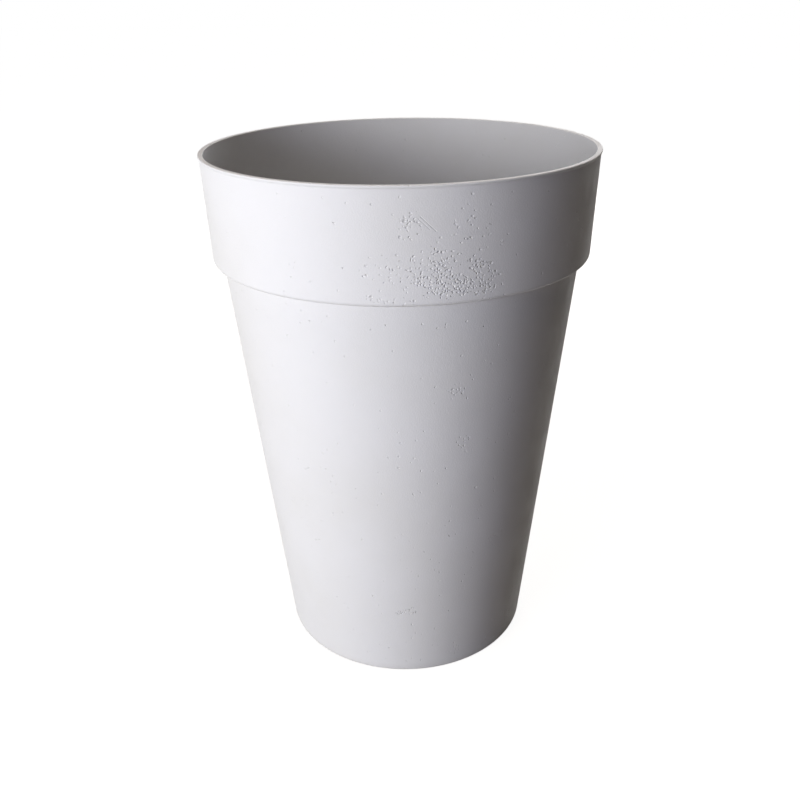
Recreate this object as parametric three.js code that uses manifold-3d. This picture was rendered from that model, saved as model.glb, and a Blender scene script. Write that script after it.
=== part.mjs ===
// A tall, round, tapered planter with a plain collar round its top.
//
// The planter is a white moulded shell. Its wall steps outwards at the collar, which leaves a ledge inside.
// A lift-out insert pot hangs on that ledge by its flange, which has two grips, and a loose drainage grid
// lies on its floor.
// Rubber plugs close the drain holes in the shell's floor, and rubber pads in sockets carry it.
//
// Millimetres, +Z up. The origin is the centre of the foot pads' soles, on the ground.

import * as THREE from "three";
import { mergeVertices } from "three/addons/utils/BufferGeometryUtils.js";
import Module from "manifold-3d";

// Shell: outer form.
const HEIGHT = 670; // ground to the top of the rim
const BODY_BASE_RADIUS = 168; // outside, at the foot
const BODY_TOP_RADIUS = 223; // outside, where the body meets the collar
const COLLAR_HEIGHT = 127;
const COLLAR_STEP = 12; // how far the collar's lower edge stands out from the body
const COLLAR_FLARE = 5; // how much wider the collar is at the rim than at its lower edge
const COLLAR_EDGE = 5; // rounding of the collar's lower edge
const COLLAR_CREASE = 2; // fillet between the body and the collar's underside
const FOOT_EDGE = 5; // rounding of the foot's outer edge

// Shell: walls and rim.
const SHELL_WALL = 5;
const LIP_PROUD = 1.2; // how far the rim's lip stands out of the collar
const LIP_HEIGHT = 3.4; // top of the rim to where the lip leans back into the collar
const RIM_ROUNDING = 1.1; // both edges of the rim
const LEDGE_ROUNDING = 3; // the ledge's free edge and its inner corner
const FLOOR_ROUNDING = 12; // where the inside of the wall meets the floor

// Shell: floor and underside.
const FLOOR_THICKNESS = 6;
const FLOOR_RAISE = 18; // the floor's underside above the foot
const FOOT_WIDTH = 9; // thickness of the skirt below the floor
const HUB_RADIUS = 34; // ring at the centre of the underside
const HUB_WIDTH = 5;
const RIB_WIDTH = 4; // spokes between the hub and the pad sockets
const RIB_SETBACK = 4; // the ribs' lower edges above the foot

// Foot pads and their sockets.
const PAD_COUNT = 6;
const PAD_RADIUS = 11;
const PAD_THICKNESS = 5;
const PAD_PROUD = 2; // how far the pads stand below the foot
const PAD_EDGE = 1; // bevel of the sole
const SOCKET_WALL = 3.5; // round each pad
const SOCKET_MERGE = 3; // how far a socket runs into the skirt

// Drain holes and plugs.
const DRAIN_COUNT = 3;
const DRAIN_RADIUS = 8;
const DRAIN_CIRCLE = 88; // radius of the circle of drain holes
const DRAIN_BOSS_WALL = 5;
const DRAIN_BOSS_DROP = 5; // below the floor's underside
const PLUG_HEAD_OVERLAP = 4; // the head covers the hole's edge by this much
const PLUG_HEAD_THICKNESS = 3;
const PLUG_KNOB_RADIUS = 4.5; // knob to pull the plug by
const PLUG_KNOB_HEIGHT = 4.5;
const PLUG_NECK_RADIUS = 2.8;
const PLUG_NECK_HEIGHT = 4.5;
const PLUG_EDGE = 1.2; // rounding of the plug's edges
const PLUG_TIP = 3; // tapered lead at the lower end

// Insert pot.
const INSERT_WALL = 3;
const INSERT_DEPTH = 300; // flange to the underside of the floor
const INSERT_SLACK = 17; // finger room between the insert's wall and the shell's
const INSERT_CORNER = 9; // rounding between the wall and the floor
const INSERT_FOOT_HEIGHT = 5;
const INSERT_FOOT_INSET = 18; // foot ring in from the bottom's edge
const FLANGE_THICKNESS = 4;
const FLANGE_EDGE = 1.3; // rounding of the flange's upper edges
const FLANGE_SLACK = 2.5; // flange to the collar's inside
const CENTRING_DEPTH = 8; // ring under the flange, inside the ledge
const CENTRING_WIDTH = 2.5;
const CENTRING_SLACK = 2; // centring ring to the shell's wall
const GRID_RIB_COUNT = 8;
const GRID_RIB_HEIGHT = 8;
const GRID_RIB_WIDTH = 3;
const GRID_RIB_START = 40; // radius where the insert's floor ribs start
const SLOT_LENGTH = 46; // drain slots in the insert's floor
const SLOT_WIDTH = 5;
const SLOT_CIRCLE = 92; // radius of the circle of slots' centres

// Grips, pegged into the insert's flange.
const GRIP_COUNT = 2;
const GRIP_LENGTH = 100;
const GRIP_HEIGHT = 30; // above the flange
const GRIP_THICKNESS = 6;
const GRIP_BAR = 9; // depth of the bar over the finger gap, and width of its legs
const GRIP_CORNER = 10; // rounding of the shoulders
const GRIP_INNER_CORNER = 5.5; // rounding of the finger gap's upper corners
const GRIP_BEVEL = 1; // all round both faces
const GRIP_SETBACK = 2; // grip's inner face from the flange's inner edge
const PEG_RADIUS = 2.2; // one peg under each leg
const PEG_PROUD = 2.5; // below the flange
const PEG_LEAD = 0.8; // bevel of the peg's end

// Drainage grid.
const GRID_THICKNESS = 3.5;
const GRID_SLACK = 2.5; // grid's edge to the insert's wall
const GRID_RINGS = 3; // rings of slots
const GRID_RING_GAP = 11; // plain band between the rings
const GRID_HUB = 40; // radius of the plain middle, with the finger holes
const GRID_BORDER = 14; // plain band round the edge
const GRID_SLOT_WIDTH = 7;
const GRID_SLOTS_ROUND = 12; // slots in each ring
const FINGER_HOLE_COUNT = 2; // to lift the grid by
const FINGER_HOLE_RADIUS = 12;
const FINGER_HOLE_CIRCLE = 22; // radius of the circle of their centres

// Clearances.
const SEAT_GAP = 0.3; // between a piece and what carries it
const PUSH_FIT = 0.3; // round a plug in its hole, a pad in its socket and a peg in the flange

// Fineness of the facets.
const SHELL_SEGMENTS = 72;
const INSERT_SEGMENTS = 60;
const HUB_SEGMENTS = 36;
const SMALL_SEGMENTS = 18;
const PEG_SEGMENTS = 12;
const ARC_STEP = Math.PI / 4;
const SLOT_END_STEPS = 3;
const SAME_POINT = 1e-4; // corners closer than this are one
const SINK = 0.6; // how far a moulded rib or boss runs into the wall that it grows from

// Levels and radii that follow from the sizes above.
const footLevel = PAD_PROUD;
const floorUnder = footLevel + FLOOR_RAISE;
const floorTop = floorUnder + FLOOR_THICKNESS;
const collarLevel = HEIGHT - COLLAR_HEIGHT;
const ledgeLevel = collarLevel + SHELL_WALL;
const footInside = BODY_BASE_RADIUS - FOOT_WIDTH;
const socketRadius = PAD_RADIUS + PUSH_FIT + SOCKET_WALL;
const padCircle = footInside - socketRadius + SOCKET_MERGE;

const flangeUnder = ledgeLevel + SEAT_GAP;
const flangeTop = flangeUnder + FLANGE_THICKNESS;
const insertUnder = flangeTop - INSERT_DEPTH;
const insertFloor = insertUnder + INSERT_WALL;
const gridUnder = insertFloor + GRID_RIB_HEIGHT + SEAT_GAP;

/** Radius at a level on the straight line through two points [radius, level]. */
function radiusOnLine([startRadius, startLevel], [endRadius, endLevel], level) {
  const share = (level - startLevel) / (endLevel - startLevel);
  return startRadius + (endRadius - startRadius) * share;
}

const collarBaseRadius = BODY_TOP_RADIUS + COLLAR_STEP;
const bodyFoot = [BODY_BASE_RADIUS, footLevel];
const bodyHead = [BODY_TOP_RADIUS, collarLevel];
const collarFoot = [collarBaseRadius, collarLevel];
const collarHead = [collarBaseRadius + COLLAR_FLARE, HEIGHT];

/** Thickness across, at one level, of a wall that leans along the line between two points. */
function wallAcross(wall, [startRadius, startLevel], [endRadius, endLevel]) {
  return wall * Math.hypot(1, (endRadius - startRadius) / (endLevel - startLevel));
}

const bodyInside = (level) =>
  radiusOnLine(bodyFoot, bodyHead, level) - wallAcross(SHELL_WALL, bodyFoot, bodyHead);
const collarInside = (level) =>
  radiusOnLine(collarFoot, collarHead, level) - wallAcross(SHELL_WALL, collarFoot, collarHead);
const insertOutside = (level) => bodyInside(level) - INSERT_SLACK;
const insertInside = (level) => insertOutside(level) - wallAcross(INSERT_WALL, bodyFoot, bodyHead);

const wasm = await Module();
wasm.setup();

/** A closed geometry as a solid for cutting and joining, with its shared corners merged. */
function toSolid(geometry) {
  const plain = geometry.index ? geometry.toNonIndexed() : geometry;
  const bare = new THREE.BufferGeometry();
  bare.setAttribute("position", plain.getAttribute("position").clone());
  const merged = mergeVertices(bare, SAME_POINT);
  const index = merged.index.array;
  const triangles = [];
  for (let corner = 0; corner < index.length; corner += 3) {
    const [a, b, c] = [index[corner], index[corner + 1], index[corner + 2]];
    if (a !== b && b !== c && c !== a) {
      triangles.push(a, b, c);
    }
  }
  const vertProperties = new Float32Array(merged.getAttribute("position").array);
  const triVerts = new Uint32Array(triangles);
  return new wasm.Manifold(new wasm.Mesh({ numProp: 3, vertProperties, triVerts }));
}

/** A solid back as a geometry that shows its facets. */
function toGeometry(solid) {
  const mesh = solid.getMesh();
  const geometry = new THREE.BufferGeometry();
  geometry.setAttribute("position", new THREE.BufferAttribute(new Float32Array(mesh.vertProperties), 3));
  geometry.setIndex(new THREE.BufferAttribute(new Uint32Array(mesh.triVerts), 1));
  geometry.computeVertexNormals();
  return geometry;
}

/** Joins a list of solids to the first one. */
function join(first, ...others) {
  return others.flat().reduce((sum, other) => sum.add(other), first);
}

/** Cuts a list of solids out of the first one. */
function cut(first, ...others) {
  return others.flat().reduce((rest, other) => rest.subtract(other), first);
}

/** Calls make(angle, number) for each of count places spread evenly round the axis. */
function around(count, make, startAngle = 0) {
  const turns = Array.from({ length: count }, (_, number) => number);
  return turns.map((number) => make(startAngle + (2 * Math.PI * number) / count, number));
}

/**
 * An outline through corners [radius, level, rounding]. Each rounded corner becomes an arc that touches both
 * of its sides, no larger than half of the shorter side lets it be.
 */
function roundedOutline(corners) {
  const points = [];
  corners.forEach(([radius, level, rounding = 0], index) => {
    const corner = new THREE.Vector2(radius, level);
    if (!rounding || index === 0 || index === corners.length - 1) {
      points.push(corner);
      return;
    }
    const back = new THREE.Vector2(...corners[index - 1].slice(0, 2)).sub(corner);
    const ahead = new THREE.Vector2(...corners[index + 1].slice(0, 2)).sub(corner);
    const room = Math.min(back.length(), ahead.length()) / 2;
    back.normalize();
    ahead.normalize();
    const halfAngle = Math.acos(THREE.MathUtils.clamp(back.dot(ahead), -1, 1)) / 2;
    const reach = Math.min(rounding / Math.tan(halfAngle), room);
    const arcRadius = reach * Math.tan(halfAngle);
    const inward = back.clone().add(ahead).normalize();
    const centre = corner.clone().addScaledVector(inward, arcRadius / Math.sin(halfAngle));
    const start = corner.clone().addScaledVector(back, reach).sub(centre);
    const sweep = Math.PI - 2 * halfAngle;
    const turnWay = Math.sign(back.cross(ahead)) || 1;
    const steps = Math.max(2, Math.ceil(sweep / ARC_STEP));
    for (let step = 0; step <= steps; step += 1) {
      const spoke = start.clone().rotateAround(new THREE.Vector2(), (-turnWay * sweep * step) / steps);
      points.push(spoke.add(centre));
    }
  });
  return points;
}

/** A solid turned round the Z axis from corners that start and end on it, the lower end first. */
function turned(corners, segments) {
  const geometry = new THREE.LatheGeometry(roundedOutline(corners), segments);
  return toSolid(geometry.rotateX(Math.PI / 2));
}

/** An upright disc or rod, from one level to another, with its centre at an angle on a circle. */
function upright(radius, fromLevel, toLevel, circle = 0, angle = 0, segments = SMALL_SEGMENTS) {
  const geometry = new THREE.CylinderGeometry(radius, radius, toLevel - fromLevel, segments);
  geometry.rotateX(Math.PI / 2);
  geometry.translate(circle, 0, (fromLevel + toLevel) / 2);
  return toSolid(geometry.rotateZ(angle));
}

/** A ring between two radii and two levels. */
function ring(insideRadius, outsideRadius, fromLevel, toLevel, segments) {
  const outside = upright(outsideRadius, fromLevel, toLevel, 0, 0, segments);
  return outside.subtract(upright(insideRadius, fromLevel - SINK, toLevel + SINK, 0, 0, segments));
}

/** A straight rib along a radius, from one radius and level to another. */
function spoke(fromRadius, toRadius, width, fromLevel, toLevel, angle) {
  const geometry = new THREE.BoxGeometry(toRadius - fromRadius, width, toLevel - fromLevel);
  geometry.translate((fromRadius + toRadius) / 2, 0, (fromLevel + toLevel) / 2);
  return toSolid(geometry.rotateZ(angle));
}

/** The outline of a slot with round ends along X, its middle at a place on that axis. */
function slotOutline(Outline, middle, length, width) {
  const half = length / 2 - width / 2;
  const outline = new Outline();
  outline.absarc(middle + half, 0, width / 2, -Math.PI / 2, Math.PI / 2, false);
  outline.absarc(middle - half, 0, width / 2, Math.PI / 2, (3 * Math.PI) / 2, false);
  outline.closePath();
  return outline;
}

/** A bar with a slot's outline that cuts a slot along a radius. */
function slotCutter(middle, length, width, fromLevel, toLevel, angle) {
  const outline = slotOutline(THREE.Shape, middle, length, width);
  const depth = toLevel - fromLevel;
  const bar = { depth, bevelEnabled: false, curveSegments: SLOT_END_STEPS };
  const geometry = new THREE.ExtrudeGeometry(outline, bar);
  geometry.translate(0, 0, fromLevel);
  return toSolid(geometry.rotateZ(angle));
}

/** The white moulding: foot, body, jog, collar and rim in one wall, with the ribbed floor. */
function buildShell() {
  const lipFoot = HEIGHT - LIP_HEIGHT;
  const lipRadius = collarBaseRadius + COLLAR_FLARE + LIP_PROUD;
  const wall = turned(
    [
      [0, floorUnder],
      [footInside, floorUnder],
      [footInside, footLevel],
      [BODY_BASE_RADIUS, footLevel, FOOT_EDGE],
      [BODY_TOP_RADIUS, collarLevel, COLLAR_CREASE],
      [collarBaseRadius, collarLevel, COLLAR_EDGE],
      [radiusOnLine(collarFoot, collarHead, lipFoot), lipFoot],
      [lipRadius, lipFoot + LIP_PROUD],
      [lipRadius, HEIGHT, RIM_ROUNDING],
      [collarInside(HEIGHT), HEIGHT, RIM_ROUNDING],
      [collarInside(ledgeLevel), ledgeLevel, LEDGE_ROUNDING],
      [bodyInside(ledgeLevel), ledgeLevel, LEDGE_ROUNDING],
      [bodyInside(floorTop), floorTop, FLOOR_ROUNDING],
      [0, floorTop],
    ],
    SHELL_SEGMENTS,
  );
  const ribUnder = footLevel + RIB_SETBACK;
  const hub = ring(HUB_RADIUS - HUB_WIDTH, HUB_RADIUS, ribUnder, floorUnder + SINK, HUB_SEGMENTS);
  const ribs = around(PAD_COUNT, (angle) =>
    spoke(HUB_RADIUS - HUB_WIDTH / 2, padCircle, RIB_WIDTH, ribUnder, floorUnder + SINK, angle),
  );
  const sockets = around(PAD_COUNT, (angle) =>
    upright(socketRadius, footLevel, floorUnder + SINK, padCircle, angle),
  );
  const pockets = around(PAD_COUNT, (angle) =>
    upright(PAD_RADIUS + PUSH_FIT, footLevel - SINK, footLevel + padSeatDepth(), padCircle, angle),
  );
  const bossRadius = DRAIN_RADIUS + DRAIN_BOSS_WALL;
  const bosses = around(
    DRAIN_COUNT,
    (angle) => upright(bossRadius, floorUnder - DRAIN_BOSS_DROP, floorUnder + SINK, DRAIN_CIRCLE, angle),
    drainStart(),
  );
  const holes = around(
    DRAIN_COUNT,
    (angle) =>
      upright(DRAIN_RADIUS, floorUnder - DRAIN_BOSS_DROP - SINK, floorTop + SINK, DRAIN_CIRCLE, angle),
    drainStart(),
  );
  return cut(join(wall, hub, ribs, sockets, bosses), pockets, holes);
}

/** Depth of a pad's socket: the pad's hidden height and the gap above it. */
function padSeatDepth() {
  return PAD_THICKNESS - PAD_PROUD + SEAT_GAP;
}

/** The drain holes lie half way between two ribs. */
function drainStart() {
  return Math.PI / PAD_COUNT;
}

/** Moves a solid from the axis to a place on a circle. */
function onCircle(solid, circle, angle) {
  return solid.translate([circle * Math.cos(angle), circle * Math.sin(angle), 0]);
}

/** A round rubber pad with a bevelled sole, in its socket. */
function buildPad(angle) {
  const pad = turned(
    [
      [0, 0],
      [PAD_RADIUS - PAD_EDGE, 0],
      [PAD_RADIUS, PAD_EDGE],
      [PAD_RADIUS, PAD_THICKNESS],
      [0, PAD_THICKNESS],
    ],
    SMALL_SEGMENTS,
  );
  return onCircle(pad, padCircle, angle);
}

/** A rubber plug: stem with a tapered tip, head on the floor, and a waisted knob to pull it by. */
function buildPlug(angle) {
  const stemRadius = DRAIN_RADIUS - PUSH_FIT;
  const headRadius = DRAIN_RADIUS + PLUG_HEAD_OVERLAP;
  const headUnder = floorTop + SEAT_GAP;
  const headTop = headUnder + PLUG_HEAD_THICKNESS;
  const stemEnd = floorUnder - DRAIN_BOSS_DROP;
  const neckTop = headTop + PLUG_NECK_HEIGHT;
  const plug = turned(
    [
      [0, stemEnd - PLUG_TIP],
      [stemRadius - PLUG_TIP / 2, stemEnd - PLUG_TIP],
      [stemRadius, stemEnd],
      [stemRadius, headUnder],
      [headRadius, headUnder],
      [headRadius, headTop, PLUG_EDGE],
      [PLUG_NECK_RADIUS, headTop],
      [PLUG_NECK_RADIUS, neckTop],
      [PLUG_KNOB_RADIUS, neckTop],
      [PLUG_KNOB_RADIUS, neckTop + PLUG_KNOB_HEIGHT, PLUG_EDGE],
      [0, neckTop + PLUG_KNOB_HEIGHT],
    ],
    SMALL_SEGMENTS,
  );
  return onCircle(plug, DRAIN_CIRCLE, angle);
}

/** The lift-out pot, with its flange, centring ring, foot ring, floor ribs, slots and peg holes. */
function buildInsert() {
  const footRingOutside = insertOutside(insertUnder) - INSERT_FOOT_INSET;
  const footRingInside = footRingOutside - INSERT_WALL;
  const footRingUnder = insertUnder - INSERT_FOOT_HEIGHT;
  const flangeRadius = collarInside(flangeUnder) - FLANGE_SLACK;
  const centringUnder = flangeUnder - CENTRING_DEPTH;
  const centringOutside = bodyInside(centringUnder) - CENTRING_SLACK;
  const pot = turned(
    [
      [0, insertUnder],
      [footRingInside, insertUnder],
      [footRingInside, footRingUnder],
      [footRingOutside, footRingUnder],
      [footRingOutside, insertUnder],
      [insertOutside(insertUnder), insertUnder, INSERT_CORNER],
      [insertOutside(flangeUnder), flangeUnder],
      [centringOutside - CENTRING_WIDTH, flangeUnder],
      [centringOutside - CENTRING_WIDTH, centringUnder],
      [centringOutside, centringUnder],
      [centringOutside, flangeUnder],
      [flangeRadius, flangeUnder],
      [flangeRadius, flangeTop, FLANGE_EDGE],
      [insertInside(flangeTop), flangeTop, FLANGE_EDGE],
      [insertInside(insertFloor), insertFloor, INSERT_CORNER],
      [0, insertFloor],
    ],
    INSERT_SEGMENTS,
  );
  const ribEnd = insertInside(insertFloor) - INSERT_CORNER;
  const ribs = around(GRID_RIB_COUNT, (angle) =>
    spoke(GRID_RIB_START, ribEnd, GRID_RIB_WIDTH, insertFloor - SINK, insertFloor + GRID_RIB_HEIGHT, angle),
  );
  const betweenRibs = Math.PI / GRID_RIB_COUNT;
  const slots = around(
    GRID_RIB_COUNT,
    (angle) =>
      slotCutter(SLOT_CIRCLE, SLOT_LENGTH, SLOT_WIDTH, insertUnder - SINK, insertFloor + SINK, angle),
    betweenRibs,
  );
  const pegHoles = around(GRIP_COUNT, (angle) =>
    pegPlaces().map((place) =>
      peg(place, PEG_RADIUS + PUSH_FIT, flangeUnder - SINK, flangeTop + SINK).rotate([0, 0, degrees(angle)]),
    ),
  );
  return cut(join(pot, ribs), slots, pegHoles.flat());
}

/** The centres of the two pegs of the grip on the +X side, as [x, y]. */
function pegPlaces() {
  const middle = insertInside(flangeTop) + GRIP_SETBACK + GRIP_THICKNESS / 2;
  const side = GRIP_LENGTH / 2 - GRIP_BAR / 2;
  return [
    [middle, -side],
    [middle, side],
  ];
}

/** A peg, or the cutter for its hole, with a bevelled lower end. */
function peg([x, y], radius, fromLevel, toLevel) {
  const rod = turned(
    [
      [0, fromLevel],
      [radius - PEG_LEAD, fromLevel],
      [radius, fromLevel + PEG_LEAD],
      [radius, toLevel],
      [0, toLevel],
    ],
    PEG_SEGMENTS,
  );
  return rod.translate([x, y, 0]);
}

const degrees = THREE.MathUtils.radToDeg;

/** One upright grip: an arch with rounded shoulders over a finger gap, on two legs with pegs. */
function buildGrip(angle) {
  const half = GRIP_LENGTH / 2;
  const outline = new THREE.Shape();
  outline.moveTo(-half, SEAT_GAP);
  outline.lineTo(GRIP_BAR - half, SEAT_GAP);
  archOver(outline, half - GRIP_BAR, GRIP_HEIGHT - GRIP_BAR, GRIP_INNER_CORNER, true);
  outline.lineTo(half - GRIP_BAR, SEAT_GAP);
  outline.lineTo(half, SEAT_GAP);
  archOver(outline, half, GRIP_HEIGHT, GRIP_CORNER, false);
  outline.closePath();
  const plate = {
    depth: GRIP_THICKNESS - 2 * GRIP_BEVEL,
    bevelThickness: GRIP_BEVEL,
    bevelSize: GRIP_BEVEL,
    bevelOffset: -GRIP_BEVEL,
    bevelSegments: 1,
    curveSegments: SLOT_END_STEPS,
  };
  const geometry = new THREE.ExtrudeGeometry(outline, plate);
  geometry.translate(0, 0, GRIP_BEVEL);
  geometry.rotateX(Math.PI / 2);
  geometry.rotateZ(Math.PI / 2);
  geometry.translate(insertInside(flangeTop) + GRIP_SETBACK, 0, flangeTop);
  const legFoot = flangeTop + SEAT_GAP + GRIP_BEVEL;
  const pegs = pegPlaces().map((place) => peg(place, PEG_RADIUS, flangeUnder - PEG_PROUD, legFoot));
  return join(toSolid(geometry), pegs).rotate([0, 0, degrees(angle)]);
}

/** Adds the two upper corners of an arch to an outline, clockwise for the gap and back again for the top. */
function archOver(outline, half, height, corner, clockwise) {
  const left = [corner - half, height - corner, corner];
  const right = [half - corner, height - corner, corner];
  if (clockwise) {
    outline.absarc(...left, Math.PI, Math.PI / 2, true);
    outline.absarc(...right, Math.PI / 2, 0, true);
  } else {
    outline.absarc(...right, 0, Math.PI / 2, false);
    outline.absarc(...left, Math.PI / 2, Math.PI, false);
  }
}

/** The slotted disc on the insert's floor ribs, with finger holes to lift it by. */
function buildGrid() {
  const radius = insertInside(gridUnder) - GRID_SLACK;
  const outline = new THREE.Shape();
  outline.absarc(0, 0, radius, 0, 2 * Math.PI, false);
  const room = radius - GRID_BORDER - GRID_HUB - GRID_RING_GAP * (GRID_RINGS - 1);
  const length = room / GRID_RINGS;
  for (let ringNumber = 0; ringNumber < GRID_RINGS; ringNumber += 1) {
    const stagger = (ringNumber % 2) * (Math.PI / GRID_SLOTS_ROUND);
    const middle = GRID_HUB + length / 2 + ringNumber * (length + GRID_RING_GAP);
    const slot = slotOutline(THREE.Path, middle, length, GRID_SLOT_WIDTH).getPoints(SLOT_END_STEPS);
    outline.holes.push(...around(GRID_SLOTS_ROUND, (angle) => turnedHole(slot, angle), stagger));
  }
  const round = new THREE.Path();
  round.absarc(FINGER_HOLE_CIRCLE, 0, FINGER_HOLE_RADIUS, 0, 2 * Math.PI, false);
  const fingerHole = round.getPoints(SMALL_SEGMENTS);
  outline.holes.push(...around(FINGER_HOLE_COUNT, (angle) => turnedHole(fingerHole, angle), Math.PI / 2));
  const plate = { depth: GRID_THICKNESS, bevelEnabled: false, curveSegments: INSERT_SEGMENTS };
  return toSolid(new THREE.ExtrudeGeometry(outline, plate).translate(0, 0, gridUnder));
}

/** A hole's outline through the grid, turned round the axis. */
function turnedHole(points, angle) {
  const origin = new THREE.Vector2();
  return new THREE.Path(points.map((point) => point.clone().rotateAround(origin, angle)));
}

/** A named mesh of a solid, with its own finish. */
function named(name, solid, finish) {
  const mesh = new THREE.Mesh(toGeometry(solid), new THREE.MeshStandardMaterial(finish));
  mesh.name = name;
  return mesh;
}

const whiteShell = { color: 0xeeeef0, roughness: 0.5, metalness: 0 };
const darkPlastic = { color: 0x3a3b3d, roughness: 0.6, metalness: 0 };
const greyPlastic = { color: 0x55575a, roughness: 0.6, metalness: 0 };
const blackRubber = { color: 0x1b1b1c, roughness: 0.85, metalness: 0 };

const planter = new THREE.Group();
planter.add(named("planter_shell", buildShell(), whiteShell));
planter.add(named("insert_pot", buildInsert(), darkPlastic));
around(GRIP_COUNT, (angle, number) =>
  planter.add(named(`insert_grip_${number + 1}`, buildGrip(angle), darkPlastic)),
);
planter.add(named("drainage_grid", buildGrid(), greyPlastic));
around(
  DRAIN_COUNT,
  (angle, number) => planter.add(named(`drain_plug_${number + 1}`, buildPlug(angle), blackRubber)),
  drainStart(),
);
around(PAD_COUNT, (angle, number) =>
  planter.add(named(`foot_pad_${number + 1}`, buildPad(angle), blackRubber)),
);

export default planter;
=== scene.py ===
"""Tall round planter with a plain collar, dressed for the camera.

The CAD model is the fixed frame. A finer mesh of each piece rides on the body of the node that it stands for:
the white moulded shell with its feet and drain plugs, the lift-out insert pot with its grips, and the
drainage grid. All lengths are in metres and +Z is up. The camera looks along +Y.
"""

import logging
import math
from collections.abc import Iterable, Sequence
from dataclasses import dataclass, field
from enum import Enum
from functools import cached_property
from typing import Any

import bmesh
import bpy
from mathutils import Matrix, Vector


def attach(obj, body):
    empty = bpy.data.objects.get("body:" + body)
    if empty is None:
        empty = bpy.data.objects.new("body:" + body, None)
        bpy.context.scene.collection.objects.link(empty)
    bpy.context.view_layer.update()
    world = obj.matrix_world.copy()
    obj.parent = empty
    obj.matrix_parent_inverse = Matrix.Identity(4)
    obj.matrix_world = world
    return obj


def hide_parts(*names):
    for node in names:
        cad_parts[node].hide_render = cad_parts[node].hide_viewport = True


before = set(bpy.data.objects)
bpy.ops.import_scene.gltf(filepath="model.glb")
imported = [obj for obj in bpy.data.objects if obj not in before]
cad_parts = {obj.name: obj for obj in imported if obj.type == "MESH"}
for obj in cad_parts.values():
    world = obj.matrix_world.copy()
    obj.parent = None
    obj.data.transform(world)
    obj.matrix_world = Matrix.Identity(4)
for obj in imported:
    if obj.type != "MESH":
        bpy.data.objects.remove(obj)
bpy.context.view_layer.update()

log = logging.getLogger("planter")

Colour = tuple[float, float, float]
Point = tuple[float, float]
Piece = bpy.types.Object
Socket = bpy.types.NodeSocket

SHELL_BODY = "shell"
INSERT_BODY = "insert"
GRID_BODY = "grid"


class Combine(Enum):
    """How a set of solids is combined with a piece."""

    JOIN = "UNION"
    CUT = "DIFFERENCE"


class Side(Enum):
    """The two sides of the planter that carry a grip, as the angle of each from +X."""

    RIGHT = 0.0
    LEFT = math.pi


class Rays(Enum):
    """The kinds of rays that see the white background instead of the dim room."""

    CAMERA = "Is Camera Ray"
    GLOSSY = "Is Glossy Ray"
    TRANSMISSION = "Is Transmission Ray"


# Outlines and meshes


@dataclass(frozen=True)
class Corner:
    """A corner of a turned outline: its radius, its level and how far it is rounded."""

    radius: float
    level: float
    rounding: float = 0.0


@dataclass(frozen=True)
class Outline:
    """A chain of corners, with arcs at the rounded ones and rows of points along the straight runs.

    An arc keeps within arc_sag of the true circle. Rows are row_step apart at most, and one lies a guard from
    each end of a run to keep its shading flat. A run shorter than shortest_run guards has no rows.
    """

    corners: tuple[Corner, ...]
    closed: bool = False
    arc_sag: float = 0.00002
    fewest_arc_steps: int = 3
    row_step: float = 0.08
    guard: float = 0.0005
    shortest_run: float = 4.0

    def points(self) -> list[Point]:
        """Lays the outline out.

        Returns:
            The points as radius and level, in order.
        """
        chain: list[Point] = []
        count = len(self.corners)
        for index, corner in enumerate(self.corners):
            at_end = not self.closed and index in (0, count - 1)
            if at_end or not corner.rounding:
                arc = [(corner.radius, corner.level)]
            else:
                arc = self._arc(self.corners[index - 1], corner, self.corners[(index + 1) % count])
            if chain:
                chain.extend(self._rows(chain[-1], arc[0]))
            chain.extend(arc)
        if self.closed:
            chain.extend(self._rows(chain[-1], chain[0]))
        return chain

    def _arc(self, before: Corner, corner: Corner, after: Corner) -> list[Point]:
        """Rounds one corner.

        Args:
            before: The corner before it.
            corner: The rounded corner.
            after: The corner after it.

        Returns:
            Points on an arc that touches both sides.
        """
        tip = Vector((corner.radius, corner.level))
        back = Vector((before.radius, before.level)) - tip
        ahead = Vector((after.radius, after.level)) - tip
        room = min(back.length, ahead.length) / 2
        back.normalize()
        ahead.normalize()
        half_angle = math.acos(max(-1.0, min(1.0, back.dot(ahead)))) / 2
        reach = min(corner.rounding / math.tan(half_angle), room)
        arc_radius = reach * math.tan(half_angle)
        centre = tip + (back + ahead).normalized() * (arc_radius / math.sin(half_angle))
        start = tip + back * reach - centre
        turn_way = -1.0 if back.x * ahead.y - back.y * ahead.x > 0 else 1.0
        sweep = math.pi - 2 * half_angle
        widest_step = 2 * math.acos(max(0.0, 1 - self.arc_sag / arc_radius))
        steps = max(self.fewest_arc_steps, math.ceil(sweep / widest_step))
        arc = []
        for step in range(steps + 1):
            spoke = start.copy()
            spoke.rotate(Matrix.Rotation(turn_way * sweep * step / steps, 2))
            arc.append((centre.x + spoke.x, centre.y + spoke.y))
        return arc

    def _rows(self, start: Point, end: Point) -> list[Point]:
        """Spaces points along a straight run.

        Args:
            start: Where the run starts.
            end: Where it ends.

        Returns:
            The points between the two ends.
        """
        length = math.dist(start, end)
        if length < self.shortest_run * self.guard:
            return []
        count = max(1, math.ceil(length / self.row_step))
        shares = {self.guard / length, 1 - self.guard / length} | {row / count for row in range(1, count)}
        return [
            (start[0] + (end[0] - start[0]) * share, start[1] + (end[1] - start[1]) * share)
            for share in sorted(shares)
        ]


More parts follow.
